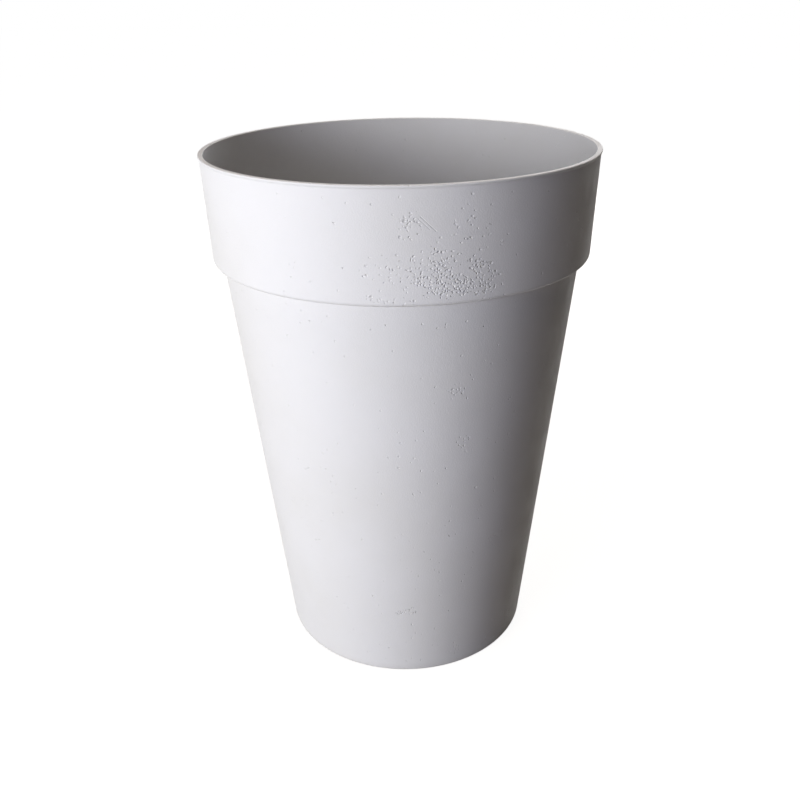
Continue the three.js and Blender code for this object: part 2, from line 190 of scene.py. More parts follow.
class Workshop:
    """Makes, places and combines the meshes of pieces."""

    @staticmethod
    def piece(name: str, vertices: Sequence[Sequence[float]], faces: Sequence[Sequence[int]]) -> Piece:
        """Makes an object of loose lists.

        Args:
            name: The object's name.
            vertices: The corners.
            faces: The faces, as numbers of corners.

        Returns:
            The new object, with its normals pointing outwards.
        """
        mesh = bpy.data.meshes.new(name)
        mesh.from_pydata(vertices, [], faces)
        shape = bmesh.new()
        shape.from_mesh(mesh)
        bmesh.ops.recalc_face_normals(shape, faces=shape.faces)
        shape.to_mesh(mesh)
        shape.free()
        thing = bpy.data.objects.new(name, mesh)
        bpy.context.scene.collection.objects.link(thing)
        return thing

    @classmethod
    def turned(cls, name: str, outline: Outline, segments: int) -> Piece:
        """Turns an outline round the Z axis.

        Args:
            name: The object's name.
            outline: The outline, which ends on the axis or is closed.
            segments: How many steps there are round the axis.

        Returns:
            A closed mesh.
        """
        vertices: list[tuple[float, float, float]] = []
        rings: list[list[int]] = []
        for radius, level in outline.points():
            if not radius:
                rings.append([len(vertices)] * segments)
                vertices.append((0.0, 0.0, level))
                continue
            rings.append(list(range(len(vertices), len(vertices) + segments)))
            vertices += [(radius * math.cos(a), radius * math.sin(a), level) for a in spread(segments)]
        pairs = list(zip(rings, rings[1:]))
        if outline.closed:
            pairs.append((rings[-1], rings[0]))
        faces = []
        for lower, upper in pairs:
            for number in range(segments):
                after = (number + 1) % segments
                corners = [lower[number], lower[after], upper[after], upper[number]]
                faces.append(list(dict.fromkeys(corners)))
        return cls.piece(name, vertices, faces)

    @classmethod
    def slab(cls, name: str, outline: Sequence[Point], low: float, high: float) -> Piece:
        """Raises a flat outline to a slab.

        Args:
            name: The object's name.
            outline: Points in the XY plane.
            low: The level of its underside.
            high: The level of its top.

        Returns:
            A closed mesh.
        """
        count = len(outline)
        vertices = [(x, y, low) for x, y in outline] + [(x, y, high) for x, y in outline]
        sides = [[n, (n + 1) % count, count + (n + 1) % count, count + n] for n in range(count)]
        return cls.piece(name, vertices, [list(range(count)), list(range(count, 2 * count)), *sides])

    @classmethod
    def rod(cls, name: str, radius: float, low: float, high: float, segments: int = 48) -> Piece:
        """Makes a plain upright rod on the axis."""
        circle = [(radius * math.cos(angle), radius * math.sin(angle)) for angle in spread(segments)]
        return cls.slab(name, circle, low, high)

    @staticmethod
    def place(thing: Piece, circle: float, angle: float) -> Piece:
        """Moves the mesh of a piece out along +X, and then round the axis by an angle."""
        thing.data.transform(Matrix.Rotation(angle, 4, "Z") @ Matrix.Translation((circle, 0, 0)))
        return thing

    @classmethod
    def rods(
        cls, name: str, radius: float, low: float, high: float, circle: float, angles: Iterable[float]
    ) -> list[Piece]:
        """Makes a plain upright rod at each of some angles on a circle."""
        return [cls.place(cls.rod(name, radius, low, high), circle, angle) for angle in angles]

    @classmethod
    def slabs(
        cls, name: str, outline: Sequence[Point], low: float, high: float, angles: Iterable[float]
    ) -> list[Piece]:
        """Makes a slab of an outline that lies along +X, turned to each of some angles."""
        return [cls.place(cls.slab(name, outline, low, high), 0.0, angle) for angle in angles]

    @staticmethod
    def combine(thing: Piece, kind: Combine, others: Iterable[Piece]) -> None:
        """Joins solids to a piece or cuts them out of it, and removes them.

        Args:
            thing: The piece.
            kind: Whether the others are joined or cut out.
            others: The solids.
        """
        tools = bpy.data.collections.new("tools")
        used = list(others)
        for other in used:
            tools.objects.link(other)
        change = thing.modifiers.new(kind.name, "BOOLEAN")
        change.operation = kind.value
        change.operand_type = "COLLECTION"
        change.collection = tools
        change.solver = "MANIFOLD"
        Workshop.settle(thing)
        for other in used:
            mesh = other.data
            bpy.data.objects.remove(other)
            bpy.data.meshes.remove(mesh)
        bpy.data.collections.remove(tools)

    @staticmethod
    def settle(thing: Piece) -> None:
        """Applies the modifiers of a piece to its mesh.

        Args:
            thing: The piece.
        """
        depsgraph = bpy.context.evaluated_depsgraph_get()
        settled = bpy.data.meshes.new_from_object(thing.evaluated_get(depsgraph))
        old = thing.data
        thing.modifiers.clear()
        thing.data = settled
        settled.name = thing.name
        bpy.data.meshes.remove(old)

    @staticmethod
    def soften(thing: Piece, width: float, steps: int, sharpest: float = 50.0) -> None:
        """Rounds the sharp edges of a piece.

        Args:
            thing: The piece.
            width: How far from the edge the rounding starts.
            steps: How many facets the rounding has.
            sharpest: Only edges that turn more than this many degrees are rounded.
        """
        bevel = thing.modifiers.new("rounding", "BEVEL")
        bevel.width = width
        bevel.segments = steps
        bevel.limit_method = "ANGLE"
        bevel.angle_limit = math.radians(sharpest)
        bevel.use_clamp_overlap = True
        Workshop.settle(thing)

    @staticmethod
    def shade(thing: Piece, sharpest: float = 32.0) -> None:
        """Shades a piece smooth and its large faces flat.

        Args:
            thing: The piece.
            sharpest: Edges that turn more than this many degrees stay sharp.
        """
        thing.data.shade_smooth()
        thing.data.set_sharp_from_angle(angle=math.radians(sharpest))
        flatten = thing.modifiers.new("flat_faces", "WEIGHTED_NORMAL")
        flatten.keep_sharp = True
        Workshop.settle(thing)


def spread(count: int, start: float = 0.0) -> list[float]:
    """Gives the angles of a number of places spread evenly round the axis."""
    return [start + 2 * math.pi * number / count for number in range(count)]


def straight_bar(start: float, end: float, width: float) -> list[Point]:
    """Lays out a straight bar along +X, from one radius to another."""
    return [(start, -width / 2), (end, -width / 2), (end, width / 2), (start, width / 2)]


def rounded_slot(middle: float, length: float, width: float, steps: int = 10) -> list[Point]:
    """Lays out a slot with round ends along +X.

    Args:
        middle: Where its middle is on the X axis.
        length: Its whole length.
        width: Its width.
        steps: How many steps each end has.

    Returns:
        The outline's points.
    """
    reach = length / 2 - width / 2
    outline = []
    for centre, start in ((middle + reach, -math.pi / 2), (middle - reach, math.pi / 2)):
        for step in range(steps + 1):
            angle = start + math.pi * step / steps
            outline.append((centre + width / 2 * math.cos(angle), width / 2 * math.sin(angle)))
    return outline


# Finishes


@dataclass(frozen=True)
class Mottle:
    """A cloudy pattern: its waves in a metre, the values that it fades between, and its finer layers."""

    scale: float
    start: float
    end: float
    detail: float = 2.0
    rough: float = 0.5


class NodeBench:
    """Lays out the nodes of one material or of the world.

    A value below is a number, a colour or a socket to link from. MIX_INPUTS are a Mix node's sockets for the
    share and the two colours, and MIX_OUTPUT is its socket for the mixed colour.
    """

    MIX_INPUTS = (0, 6, 7)
    MIX_OUTPUT = 2

    def __init__(self, tree: bpy.types.NodeTree) -> None:
        """Starts with an empty tree."""
        self.tree = tree
        tree.nodes.clear()

    @cached_property
    def where(self) -> Socket:
        """Gives the object's own coordinates."""
        return self.add("TexCoord").outputs["Object"]

    def add(self, kind: str, sockets: dict[Any, Any] | None = None, **settings: Any) -> bpy.types.Node:
        """Adds a node.

        Args:
            kind: The node's type, without its ShaderNode prefix.
            sockets: The value of each of its sockets, by name or number.
            **settings: The node's own settings.

        Returns:
            The new node.
        """
        node = self.tree.nodes.new(f"ShaderNode{kind}")
        for name, value in settings.items():
            setattr(node, name, value)
        for name, value in (sockets or {}).items():
            socket = node.inputs[name]
            if isinstance(value, Socket):
                self.tree.links.new(value, socket)
            elif socket.type == "RGBA":
                socket.default_value = (*value, 1.0)
            else:
                socket.default_value = value
        return node

    def maths(self, operation: str, first: Any, second: Any = 0.0, third: Any = 0.0) -> Socket:
        """Adds a Math node for up to three values."""
        return self.add("Math", {0: first, 1: second, 2: third}, operation=operation).outputs[0]

    def length(self, across: Any, along: Any) -> Socket:
        """Gives the length of a flat vector."""
        squares = self.maths("ADD", self.maths("POWER", across, 2.0), self.maths("POWER", along, 2.0))
        return self.maths("SQRT", squares)

    def fade(self, value: Any, start: Any, end: Any, low: Any = 0.0, high: Any = 1.0) -> Socket:
        """Fades smoothly from low, where a value is at the start, to high, where it is at the end."""
        sockets = {"Value": value, "From Min": start, "From Max": end, "To Min": low, "To Max": high}
        return self.add("MapRange", sockets, interpolation_type="SMOOTHSTEP").outputs["Result"]

    def blend(self, share: Any, first: Any, second: Any) -> Socket:
        """Mixes two colours, with a share of the second."""
        node = self.add("Mix", dict(zip(self.MIX_INPUTS, (share, first, second))), data_type="RGBA")
        return node.outputs[self.MIX_OUTPUT]

    def noise(self, scale: float, detail: float = 2.0, rough: float = 0.5, output: str = "Fac") -> Socket:
        """Adds a Noise Texture node, with its scale as waves in a metre."""
        sockets = {"Vector": self.where, "Scale": scale, "Detail": detail, "Roughness": rough}
        return self.add("TexNoise", sockets).outputs[output]

    def mottle(self, pattern: Mottle, low: Any = 0.0, high: Any = 1.0) -> Socket:
        """Fades between two values in a cloudy pattern."""
        clouds = self.noise(pattern.scale, pattern.detail, pattern.rough)
        return self.fade(clouds, pattern.start, pattern.end, low, high)

    def bump(self, height: Any, depth: float, under: Socket | None = None) -> Socket:
        """Adds a Bump node for a height from 0 to 1, on top of another normal if there is one."""
        below = {} if under is None else {"Normal": under}
        return self.add("Bump", {"Distance": depth, "Height": height, **below}).outputs["Normal"]


@dataclass(frozen=True)
class Finish:
    """What every finish has: a name, a colour, a roughness and an index of refraction."""

    name: str
    colour: Colour
    roughness: float
    refraction: float = 1.5

    def material(self) -> bpy.types.Material:
        """Makes the material.

        Returns:
            A material with its nodes linked up.
        """
        material = bpy.data.materials.new(self.name)
        material.use_nodes = True
        bench = NodeBench(material.node_tree)
        shader = bench.add("BsdfPrincipled", {**self.surface(bench), "IOR": self.refraction})
        bench.add("OutputMaterial", {"Surface": shader.outputs["BSDF"]})
        material.diffuse_color = (*self.colour, 1.0)
        return material

    def surface(self, bench: NodeBench) -> dict[str, Any]:
        """Gives the values of the shader's sockets by name. Each kind of finish has its own."""
        raise NotImplementedError

    def dress(self, thing: Piece) -> None:
        """Gives the material to a piece, in place of what it has."""
        thing.data.materials.clear()
        thing.data.materials.append(bpy.data.materials.get(self.name) or self.material())


@dataclass(frozen=True)
class PitPatch:
    """A patch of pits in the gel coat.

    Its middle is given as an angle in degrees, from the front towards the right, and a level. Its width is
    measured round the planter. Its density is the share of places that hold a pit.
    """

    angle: float
    level: float
    width: float
    height: float
    density: float


@dataclass(frozen=True)
class Scratch:
    """A fine straight scratch, from one place to another, each given as an angle in degrees and a level."""

    first: tuple[float, float]
    last: tuple[float, float]
    width: float
    depth: float


@dataclass(frozen=True)
class GelCoat(Finish):
    """White gel coat: a fine orange peel, long shallow waves, scratches and pits where air was trapped, with
    painted shade in the pits.
    """

    name: str = "white_gel_coat"
    colour: Colour = (0.87, 0.87, 0.88)
    roughness: float = 0.5
    specular_level: float = 0.05
    tired_colour: Colour = (0.845, 0.842, 0.84)
    # Dust colour for the scuffs at the foot; it is also the colour of the painted shade in the pits.
    dust_colour: Colour = (0.62, 0.6, 0.57)
    clouds: Mottle = Mottle(7.0, 0.35, 0.75, detail=4.0)
    smears: Mottle = Mottle(22.0, 0.3, 0.7, detail=5.0, rough=0.6)
    smear_dull: float = 0.07
    smear_glossy: float = 0.05
    scuff_scale: float = 60.0
    scuff_share: float = 0.5
    scuffs_start: float = 0.016
    scuffs_full: float = 0.002
    wave_scale: float = 9.0
    wave_depth: float = 0.0005
    peel_scale: float = 640.0
    peel_depth: float = 0.0002
    girth_radius: float = 0.225
    pit_spacing: float = 0.0033
    pit_radius: float = 0.0016
    pit_depth: float = 0.0008
    # Share of the dust colour put into the pits: painted shade in the hollows, not dust.
    pit_painted_shade: float = 0.05
    shallowest_pit: float = 0.4
    drift_scale: float = 170.0
    pit_drift: float = 0.004
    ragged_scale: float = 45.0
    ragged_reach: float = 0.8
    patch_core: float = 0.5
    stray_pits: float = 0.01
    patches: tuple[PitPatch, ...] = (
        PitPatch(angle=8, level=0.577, width=0.060, height=0.044, density=0.7),
        PitPatch(angle=9, level=0.566, width=0.034, height=0.032, density=0.95),
        PitPatch(angle=14.5, level=0.565, width=0.052, height=0.034, density=0.95),
        PitPatch(angle=20.5, level=0.570, width=0.040, height=0.050, density=0.75),
        PitPatch(angle=6.5, level=0.597, width=0.050, height=0.030, density=0.45),
        PitPatch(angle=11.5, level=0.593, width=0.044, height=0.026, density=0.5),
        PitPatch(angle=1.8, level=0.620, width=0.028, height=0.022, density=0.5),
        PitPatch(angle=1.4, level=0.635, width=0.026, height=0.018, density=0.6),
        PitPatch(angle=-6, level=0.582, width=0.060, height=0.044, density=0.22),
        PitPatch(angle=0.5, level=0.578, width=0.050, height=0.036, density=0.3),
        PitPatch(angle=18, level=0.610, width=0.100, height=0.090, density=0.1),
        PitPatch(angle=-3.5, level=0.553, width=0.050, height=0.020, density=0.35),
        PitPatch(angle=16.4, level=0.437, width=0.030, height=0.022, density=0.4),
        PitPatch(angle=19, level=0.368, width=0.026, height=0.026, density=0.4),
        PitPatch(angle=37, level=0.204, width=0.040, height=0.022, density=0.45),
        PitPatch(angle=53, level=0.042, width=0.034, height=0.026, density=0.45),
        PitPatch(angle=-1, level=0.110, width=0.040, height=0.020, density=0.45),
        PitPatch(angle=22, level=0.030, width=0.034, height=0.018, density=0.45),
    )
    scratches: tuple[Scratch, ...] = (
        Scratch(first=(4.6, 0.6385), last=(8.4, 0.6232), width=0.0016, depth=0.0003),
        Scratch(first=(4.1, 0.6365), last=(6.8, 0.6257), width=0.0014, depth=0.00022),
    )

    def surface(self, bench: NodeBench) -> dict[str, Any]:
        """Lays out the surface.

        Args:
            bench: The material's bench.

        Returns:
            The values of the shader's sockets, by name.
        """
        girth, level = self._unrolled(bench)
        colour = bench.blend(bench.mottle(self.clouds), self.colour, self.tired_colour)
        scuffs = bench.noise(self.scuff_scale, detail=6.0, rough=0.7)
        scuffs = bench.maths("MULTIPLY", scuffs, self.scuff_share)
        near_foot = bench.fade(level, self.scuffs_start, self.scuffs_full)
        colour = bench.blend(bench.maths("MULTIPLY", near_foot, scuffs), colour, self.dust_colour)
        pits = self._pits(bench, girth, level)
        # Painted shade: the pits are darkened towards the dust colour.
        colour = bench.blend(bench.maths("MULTIPLY", pits, self.pit_painted_shade), colour, self.dust_colour)
        glossy, dull = self.roughness - self.smear_glossy, self.roughness + self.smear_dull
        normal = bench.bump(bench.noise(self.wave_scale, detail=1.0), self.wave_depth)
        normal = bench.bump(bench.noise(self.peel_scale, detail=1.5), self.peel_depth, normal)
        normal = bench.bump(bench.maths("SUBTRACT", 1.0, pits), self.pit_depth, normal)
        for scratch in self.scratches:
            normal = bench.bump(self._away_from(bench, girth, level, scratch), scratch.depth, normal)
        return {
            "Base Color": colour,
            "Roughness": bench.mottle(self.smears, glossy, dull),
            "Normal": normal,
            "Specular IOR Level": self.specular_level,
        }

    def _unrolled(self, bench: NodeBench) -> tuple[Socket, Socket]:
        """Unrolls the wall.

        Args:
            bench: The material's bench.

        Returns:
            The way round the planter from the front, and the level.
        """
        place = bench.add("SeparateXYZ", {0: bench.where}).outputs
        angle = bench.maths("ARCTAN2", place["X"], bench.maths("MULTIPLY", place["Y"], -1.0))
        return bench.maths("MULTIPLY", angle, self.girth_radius), place["Z"]

    def _girth(self, angle: float) -> float:
        """Gives the way round the planter from the front for an angle in degrees."""
        return math.radians(angle) * self.girth_radius

    def _away_from(self, bench: NodeBench, girth: Socket, level: Socket, scratch: Scratch) -> Socket:
        """Finds how far each spot is from a scratch.

        Args:
            bench: The material's bench.
            girth: The way round the planter from the front.
            level: The level.
            scratch: The scratch.

        Returns:
            A socket that is 0 in the middle of the scratch and 1 outside it.
        """
        start, end = (Vector((self._girth(angle), height)) for angle, height in (scratch.first, scratch.last))
        way = (end - start).normalized()
        half = (end - start).length / 2
        right = bench.maths("SUBTRACT", girth, start.x)
        up = bench.maths("SUBTRACT", level, start.y)
        along = bench.maths("MULTIPLY_ADD", up, way.y, bench.maths("MULTIPLY", right, way.x))
        aside = bench.maths("MULTIPLY_ADD", up, way.x, bench.maths("MULTIPLY", right, -way.y))
        from_middle = bench.maths("ABSOLUTE", bench.maths("SUBTRACT", along, half))
        past = bench.maths("MAXIMUM", bench.maths("SUBTRACT", from_middle, half), 0.0)
        return bench.fade(bench.length(aside, past), 0.0, scratch.width / 2)

    def _pits(self, bench: NodeBench, girth: Socket, level: Socket) -> Socket:
        """Scatters pits, thickly in the patches and thinly elsewhere.

        Args:
            bench: The material's bench.
            girth: The way round the planter from the front.
            level: The level.

        Returns:
            A socket that is 1 at the middle of the deepest pits and 0 outside.
        """
        clouds = bench.noise(self.ragged_scale, detail=3.0)
        ragged = bench.maths("MULTIPLY_ADD", clouds, 2 * self.ragged_reach, -self.ragged_reach)
        density: Any = self.stray_pits
        for patch in self.patches:
            across = bench.maths("SUBTRACT", girth, self._girth(patch.angle))
            along = bench.maths("SUBTRACT", level, patch.level)
            across = bench.maths("DIVIDE", across, patch.width / 2)
            along = bench.maths("DIVIDE", along, patch.height / 2)
            edge = bench.maths("ADD", bench.length(across, along), ragged)
            inside = bench.fade(edge, 1.0, self.patch_core, 0.0, patch.density)
            density = bench.maths("MAXIMUM", density, inside)
        spot = bench.add("CombineXYZ", {"X": girth, "Y": level}).outputs["Vector"]
        stir = bench.noise(self.drift_scale, detail=1.0, output="Color")
        sockets = {0: stir, 1: (self.pit_drift,) * 3, 2: spot}
        drift = bench.add("VectorMath", sockets, operation="MULTIPLY_ADD")
        sockets = {"Vector": drift.outputs["Vector"], "Scale": 1 / self.pit_spacing, "Randomness": 1.0}
        cells = bench.add("TexVoronoi", sockets, voronoi_dimensions="2D").outputs
        luck = bench.add("SeparateColor", {0: cells["Color"]}).outputs
        chosen = bench.maths("LESS_THAN", luck[0], density)
        hollow = bench.fade(cells["Distance"], self.pit_radius / self.pit_spacing, 0.0)
        depth = bench.maths("MULTIPLY_ADD", luck[1], 1 - self.shallowest_pit, self.shallowest_pit)
        return bench.maths("MULTIPLY", bench.maths("MULTIPLY", hollow, depth), chosen)


@dataclass(frozen=True)
class MouldedPlastic(Finish):
    """Moulded plastic with a fine grain, faint flow marks, specks and rubbed places."""

    refraction: float = 1.49
    fleck: Colour = (0.06, 0.061, 0.063)
    flow: Mottle = Mottle(14.0, 0.35, 0.8, detail=5.0, rough=0.65)
    specks: Mottle = Mottle(420.0, 0.62, 0.72, detail=1.0)
    speck_share: float = 0.35
    rubbed: Mottle = Mottle(50.0, 0.3, 0.75, detail=4.0)
    rubbing: float = 0.08
    grain_scale: float = 900.0
    grain_depth: float = 0.00004

    def surface(self, bench: NodeBench) -> dict[str, Any]:
        """Lays out the surface.

        Args:
            bench: The material's bench.

        Returns:
            The values of the shader's sockets, by name.
        """
        colour = bench.blend(bench.mottle(self.flow), self.colour, self.fleck)
        glossy, dull = self.roughness - self.rubbing, self.roughness + self.rubbing
        return {
            "Base Color": bench.blend(bench.mottle(self.specks, 0.0, self.speck_share), colour, self.fleck),
            "Roughness": bench.mottle(self.rubbed, glossy, dull),
            "Normal": bench.bump(bench.noise(self.grain_scale), self.grain_depth),
        }


@dataclass(frozen=True)
class Rubber(Finish):
    """Black rubber: matt, slightly dusty, with a fine moulded tooth."""

    name: str = "black_rubber"
    colour: Colour = (0.02, 0.02, 0.021)
    roughness: float = 0.75
    refraction: float = 1.52
    dust_colour: Colour = (0.07, 0.068, 0.064)
    dust: Mottle = Mottle(120.0, 0.42, 0.75, detail=6.0, rough=0.7)
    dust_share: float = 0.55
    dust_dulling: float = 0.2
    tooth_scale: float = 1300.0
    tooth_depth: float = 0.00005

    def surface(self, bench: NodeBench) -> dict[str, Any]:
        """Lays out the surface.

        Args:
            bench: The material's bench.

        Returns:
            The values of the shader's sockets, by name.
        """
        dusty = bench.mottle(self.dust, 0.0, self.dust_share)
        return {
            "Base Color": bench.blend(dusty, self.colour, self.dust_colour),
            "Roughness": bench.maths("MULTIPLY_ADD", dusty, self.dust_dulling, self.roughness),
            "Normal": bench.bump(bench.noise(self.tooth_scale), self.tooth_depth),
        }


GEL_COAT = GelCoat()
DARK_PLASTIC = MouldedPlastic("dark_plastic", (0.045, 0.047, 0.05), 0.5)
GREY_PLASTIC = MouldedPlastic("grey_plastic", (0.1, 0.105, 0.11), 0.55, fleck=(0.125, 0.13, 0.135))
BLACK_RUBBER = Rubber()


# Sub-assemblies


@dataclass
class SubAssembly:
    """What every sub-assembly has: the body that it rides on."""

    body: str

    def stand_for(self, thing: Piece, node: str, slot: str, finish: Finish) -> None:
        """Dresses a finished piece and puts it in the place of its CAD node.

        Args:
            thing: The piece.
            node: The CAD node that it stands for.
            slot: The record's material slot; not used.
            finish: Its finish.
        """
        Workshop.shade(thing)
        finish.dress(thing)
        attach(thing, self.body)
        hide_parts(node)
        faces = len(thing.data.polygons)
        log.info("%s: %d faces, %s, rides on %s", thing.name, faces, finish.name, self.body)


@dataclass
class Shell(SubAssembly):
    """The white moulding: foot, tapered body, jog, collar and rim in one wall, with a ribbed floor."""

    body: str = SHELL_BODY
    height: float = 0.670
    foot_level: float = 0.002
    base_radius: float = 0.168
    top_radius: float = 0.223
    collar_height: float = 0.127
    collar_step: float = 0.012
    collar_flare: float = 0.005
    collar_edge: float = 0.005
    crease: float = 0.002
    foot_edge: float = 0.005
    foot_inner_edge: float = 0.0012
    wall: float = 0.005
    lip_proud: float = 0.0012
    lip_height: float = 0.0034
    lip_blend: float = 0.003
    rim_rounding: float = 0.0011
    ledge_rounding: float = 0.003
    floor_rounding: float = 0.012
    floor_under: float = 0.020
    floor_top: float = 0.026
    foot_width: float = 0.009
    hub_radius: float = 0.034
    hub_width: float = 0.005
    hub_segments: int = 96
    rib_width: float = 0.004
    rib_under: float = 0.006
    pad_count: int = 6
    pad_circle: float = 0.1472
    pocket_radius: float = 0.0113
    pocket_depth: float = 0.0033
    socket_wall: float = 0.0035
    drain_count: int = 3
    drain_radius: float = 0.008
    drain_circle: float = 0.088
    boss_wall: float = 0.005
    boss_drop: float = 0.005
    sink: float = 0.0006
    segments: int = 240

    @property
    def collar_level(self) -> float:
        """Gives the level of the collar's lower edge."""
        return self.height - self.collar_height

    @property
    def collar_base(self) -> float:
        """Gives the collar's radius at its lower edge."""
        return self.top_radius + self.collar_step

    @property
    def lean(self) -> float:
        """Gives how far the body's wall leans out in each metre up."""
        return (self.top_radius - self.base_radius) / (self.collar_level - self.foot_level)

    @property
    def drain_angles(self) -> list[float]:
        """Gives the angles of the drains, each half way between two ribs."""
        return spread(self.drain_count, math.pi / self.pad_count)

    def body_outside(self, level: float) -> float:
        """Gives the body's outer radius at a level."""
        share = (level - self.foot_level) / (self.collar_level - self.foot_level)
        return self.base_radius + (self.top_radius - self.base_radius) * share

    def body_inside(self, level: float) -> float:
        """Gives the body's inner radius at a level."""
        return self.body_outside(level) - self.wall * math.hypot(1, self.lean)

    def collar_outside(self, level: float) -> float:
        """Gives the collar's outer radius at a level."""
        return self.collar_base + self.collar_flare * (level - self.collar_level) / self.collar_height

    def collar_inside(self, level: float) -> float:
        """Gives the collar's inner radius at a level."""
        return self.collar_outside(level) - self.wall * math.hypot(1, self.collar_flare / self.collar_height)

    def outline(self) -> Outline:
        """Lays out the wall.

        Returns:
            Its outline, from the floor's underside out, up and back in to the floor's top.
        """
        foot_inside = self.base_radius - self.foot_width
        lip_foot = self.height - self.lip_height
        lip = self.collar_base + self.collar_flare + self.lip_proud
        ledge = self.collar_level + self.wall
        corners = (
            Corner(0.0, self.floor_under),
            Corner(foot_inside, self.floor_under, self.crease),
            Corner(foot_inside, self.foot_level, self.foot_inner_edge),
            Corner(self.base_radius, self.foot_level, self.foot_edge),
            Corner(self.top_radius, self.collar_level, self.crease),
            Corner(self.collar_base, self.collar_level, self.collar_edge),
            Corner(self.collar_outside(lip_foot), lip_foot, self.lip_blend),
            Corner(lip, lip_foot + self.lip_proud, self.lip_blend),
            Corner(lip, self.height, self.rim_rounding),
            Corner(self.collar_inside(self.height), self.height, self.rim_rounding),
            Corner(self.collar_inside(ledge), ledge, self.ledge_rounding),
            Corner(self.body_inside(ledge), ledge, self.ledge_rounding),
            Corner(self.body_inside(self.floor_top), self.floor_top, self.floor_rounding),
            Corner(0.0, self.floor_top),
        )
        return Outline(corners)

    def underside(self) -> list[Piece]:
        """Makes what stands down from the floor.

        Returns:
            The hub, the ribs, the pad sockets and the drain bosses.
        """
        top = self.floor_under + self.sink
        inner = self.hub_radius - self.hub_width
        hub_corners = (
            Corner(inner, self.rib_under),
            Corner(self.hub_radius, self.rib_under),
            Corner(self.hub_radius, top),
            Corner(inner, top),
        )
        hub = Workshop.turned("hub", Outline(hub_corners, closed=True), self.hub_segments)
        angles = spread(self.pad_count)
        rib = straight_bar(self.hub_radius - self.hub_width / 2, self.pad_circle, self.rib_width)
        ribs = Workshop.slabs("rib", rib, self.rib_under, top, angles)
        socket_radius = self.pocket_radius + self.socket_wall
        sockets = Workshop.rods("socket", socket_radius, self.foot_level, top, self.pad_circle, angles)
        boss_radius = self.drain_radius + self.boss_wall
        boss_under = self.floor_under - self.boss_drop
        bosses = Workshop.rods("boss", boss_radius, boss_under, top, self.drain_circle, self.drain_angles)
        return [hub, *ribs, *sockets, *bosses]

    def openings(self) -> list[Piece]:
        """Makes the cutters.

        Returns:
            Those for the pad sockets and the drain holes.
        """
        top, angles = self.foot_level + self.pocket_depth, spread(self.pad_count)
        pockets = Workshop.rods("pocket", self.pocket_radius, 0.0, top, self.pad_circle, angles)
        top, angles = self.floor_top + self.sink, self.drain_angles
        drains = Workshop.rods("drain", self.drain_radius, 0.0, top, self.drain_circle, angles)
        return [*pockets, *drains]

    def build(self) -> None:
        """Builds and dresses the moulding."""
        moulding = Workshop.turned("shell_moulding", self.outline(), self.segments)
        Workshop.combine(moulding, Combine.JOIN, self.underside())
        Workshop.combine(moulding, Combine.CUT, self.openings())
        self.stand_for(moulding, "planter_shell", "white_shell", GEL_COAT)


@dataclass
class Feet(SubAssembly):
    """The rubber pads in their sockets under the shell."""

    shell: Shell = field(default_factory=Shell)
    body: str = SHELL_BODY
    radius: float = 0.011
    thickness: float = 0.005
    sole_edge: float = 0.001
    top_edge: float = 0.0005
    guard: float = 0.0002
    segments: int = 64

    def build(self) -> None:
        """Builds and dresses the pads."""
        corners = (
            Corner(0.0, 0.0),
            Corner(self.radius, 0.0, self.sole_edge),
            Corner(self.radius, self.thickness, self.top_edge),
            Corner(0.0, self.thickness),
        )
        outline = Outline(corners, guard=self.guard)
        for number, angle in enumerate(spread(self.shell.pad_count), start=1):
            pad = Workshop.turned(f"pad_{number}", outline, self.segments)
            Workshop.place(pad, self.shell.pad_circle, angle)
            self.stand_for(pad, f"foot_pad_{number}", "black_rubber", BLACK_RUBBER)


@dataclass
class Plugs:
    """The rubber plugs in the drain holes, each on a body of its own."""

    shell: Shell = field(default_factory=Shell)
    slack: float = 0.0003
    head_overlap: float = 0.004
    head_thickness: float = 0.003
    knob_radius: float = 0.0045
    knob_height: float = 0.0045
    neck_radius: float = 0.0028
    neck_height: float = 0.0045
    tip: float = 0.003
    tip_edge: float = 0.0008
    stem_edge: float = 0.001
    seat_edge: float = 0.0004
    top_edge: float = 0.0012
    neck_foot_edge: float = 0.001
    neck_top_edge: float = 0.0008
    guard: float = 0.0002
    segments: int = 64

    def outline(self) -> Outline:
        """Lays out a plug.

        Returns:
            Its outline, from its tip up to its knob.
        """
        stem = self.shell.drain_radius - self.slack
        head = self.shell.drain_radius + self.head_overlap
        stem_end = self.shell.floor_under - self.shell.boss_drop
        head_under = self.shell.floor_top + self.slack
        head_top = head_under + self.head_thickness
        neck_top = head_top + self.neck_height
        knob_top = neck_top + self.knob_height
        corners = (
            Corner(0.0, stem_end - self.tip),
            Corner(stem - self.tip / 2, stem_end - self.tip, self.tip_edge),
            Corner(stem, stem_end, self.stem_edge),
            Corner(stem, head_under, self.seat_edge),
            Corner(head, head_under, self.seat_edge),
            Corner(head, head_top, self.top_edge),
            Corner(self.neck_radius, head_top, self.neck_foot_edge),
            Corner(self.neck_radius, neck_top, self.neck_top_edge),
            Corner(self.knob_radius, neck_top, self.neck_top_edge),
            Corner(self.knob_radius, knob_top, self.top_edge),
            Corner(0.0, knob_top),
        )
        return Outline(corners, guard=self.guard)

    def build(self) -> None:
        """Builds and dresses the plugs."""
        outline = self.outline()
        for number, angle in enumerate(self.shell.drain_angles, start=1):
            plug = Workshop.turned(f"plug_{number}", outline, self.segments)
            Workshop.place(plug, self.shell.drain_circle, angle)
            maker = SubAssembly(f"plug_{number}")
            maker.stand_for(plug, f"drain_plug_{number}", "black_rubber", BLACK_RUBBER)


